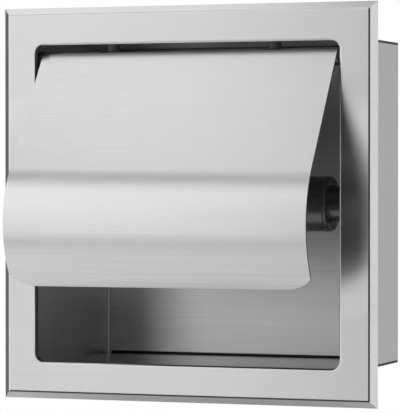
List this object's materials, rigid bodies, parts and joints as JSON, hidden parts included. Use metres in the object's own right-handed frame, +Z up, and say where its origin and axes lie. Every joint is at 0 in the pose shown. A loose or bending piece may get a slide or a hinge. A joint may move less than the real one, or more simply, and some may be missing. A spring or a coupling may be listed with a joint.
{
  "type": "recessed toilet roll holder",
  "caption": "Recessed toilet roll holder: a steel wall box with a bevelled square frame, a curved hood that swings up on a rod, and a sprung black roller.",
  "frame": {"origin": "centre of the wall opening, on the wall's surface, level with the back rim of the frame", "axes": "+X to the right as the user sees it, +Y into the wall, +Z up"},
  "size_m": [0.1606, 0.1179, 0.1606],
  "materials": {
    "satin_steel": "satin stainless sheet, brushed across the width",
    "bright_steel": "bright drawn",
    "spring_steel": "drawn wire",
    "black_plastic": "moulded, satin",
    "black_nylon": "moulded, plain",
    "grey_rubber": "matt"
  },
  "bodies": {
    "housing": {"face_frame": "satin_steel", "box_wrap": "satin_steel", "top_plate": "satin_steel", "bottom_plate": "satin_steel", "hinge_rod": "bright_steel", "rod_cap_left": "bright_steel", "rod_cap_right": "bright_steel", "hinge_spacer_left": "black_nylon", "hinge_spacer_right": "black_nylon", "cover_bumper_left": "grey_rubber", "cover_bumper_right": "grey_rubber", "roller_socket_left": "black_plastic", "roller_socket_right": "black_plastic"},
    "hood": {"cover": "satin_steel"},
    "roller": {"roller_tube": "black_plastic", "roller_fixed_end": "black_plastic", "roller_end_ring": "black_plastic", "roller_spring": "spring_steel"},
    "plunger": {"roller_plunger": "black_plastic"}
  },
  "joints": [
    {"name": "hood_hinge", "type": "hinge", "parent": "housing", "child": "hood", "pos_m": [0, 0.00305, 0.05875], "axis": [-1, 0, 0], "range_deg": [0, 73]},
    {"name": "roller_spin", "type": "hinge", "parent": "housing", "child": "roller", "pos_m": [0, 0.015, 0], "axis": [1, 0, 0], "continuous": true},
    {"name": "plunger_slide", "type": "slide", "parent": "roller", "child": "plunger", "axis": [1, 0, 0], "range_m": [-0.0075, 0], "stiffness_N_per_m": 250, "springref_m": 0.012, "deforming": ["roller_spring"]}
  ]
}
